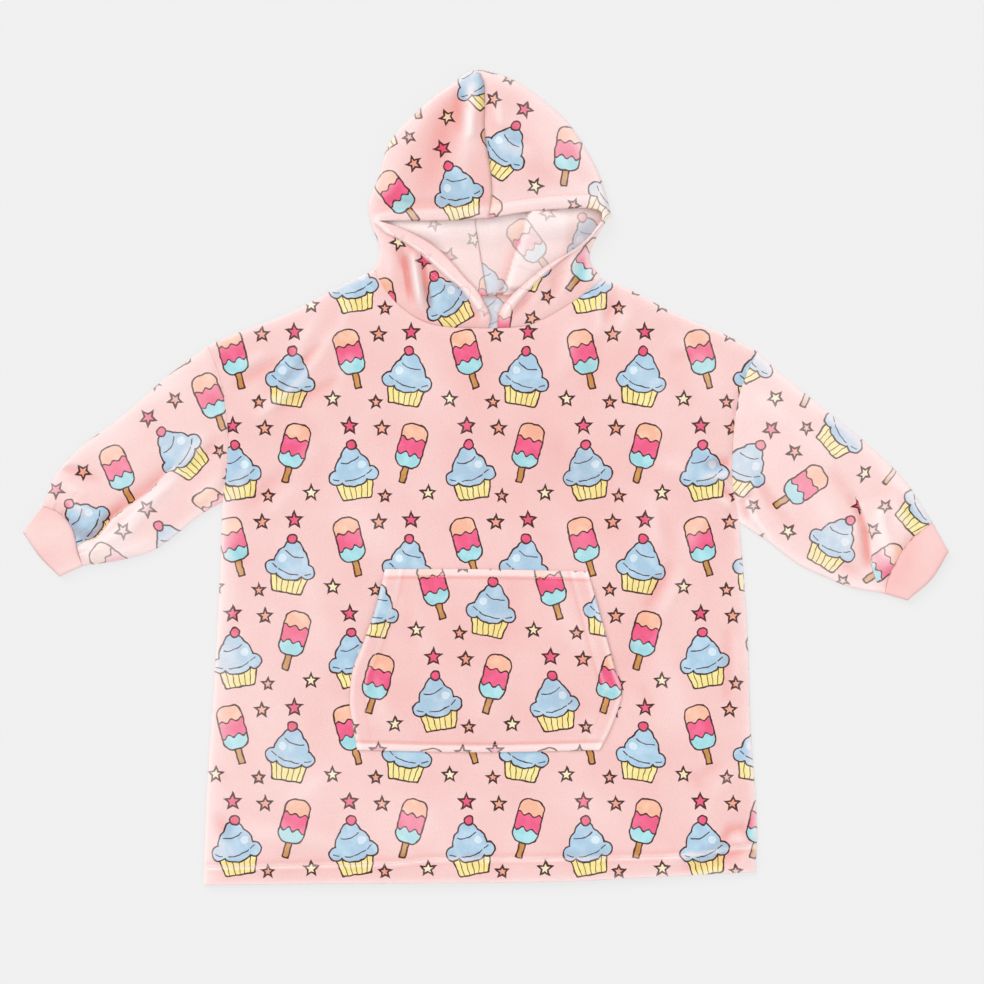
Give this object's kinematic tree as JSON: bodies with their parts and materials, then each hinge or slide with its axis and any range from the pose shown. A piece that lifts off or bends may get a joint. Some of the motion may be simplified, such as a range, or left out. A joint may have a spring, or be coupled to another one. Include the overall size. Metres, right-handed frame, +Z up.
{
  "type": "hooded blanket top",
  "caption": "Oversized hooded pullover of printed fleece, laid flat on its back, with short wide sleeves, knit cuffs, a soft hood and a pouch pocket.",
  "frame": {"origin": "centre of the bounding box in plan, on the surface the garment lies on", "axes": "+Z up out of the front, +Y from the hem to the hood, +X to the right as seen from above the front"},
  "size_m": [1.204, 1.06, 0.0219],
  "materials": {
    "printed_fleece": "soft short pile, printed on the outer face",
    "cuff_knit": "plain fine knit"
  },
  "bodies": {
    "root": {"front_panel": "printed_fleece", "back_panel": "printed_fleece", "sleeve_left": "printed_fleece", "sleeve_right": "printed_fleece", "cuff_left": "cuff_knit", "cuff_right": "cuff_knit", "hood_left": "printed_fleece", "hood_right": "printed_fleece", "kangaroo_pocket": "printed_fleece"}
  },
  "joints": []
}
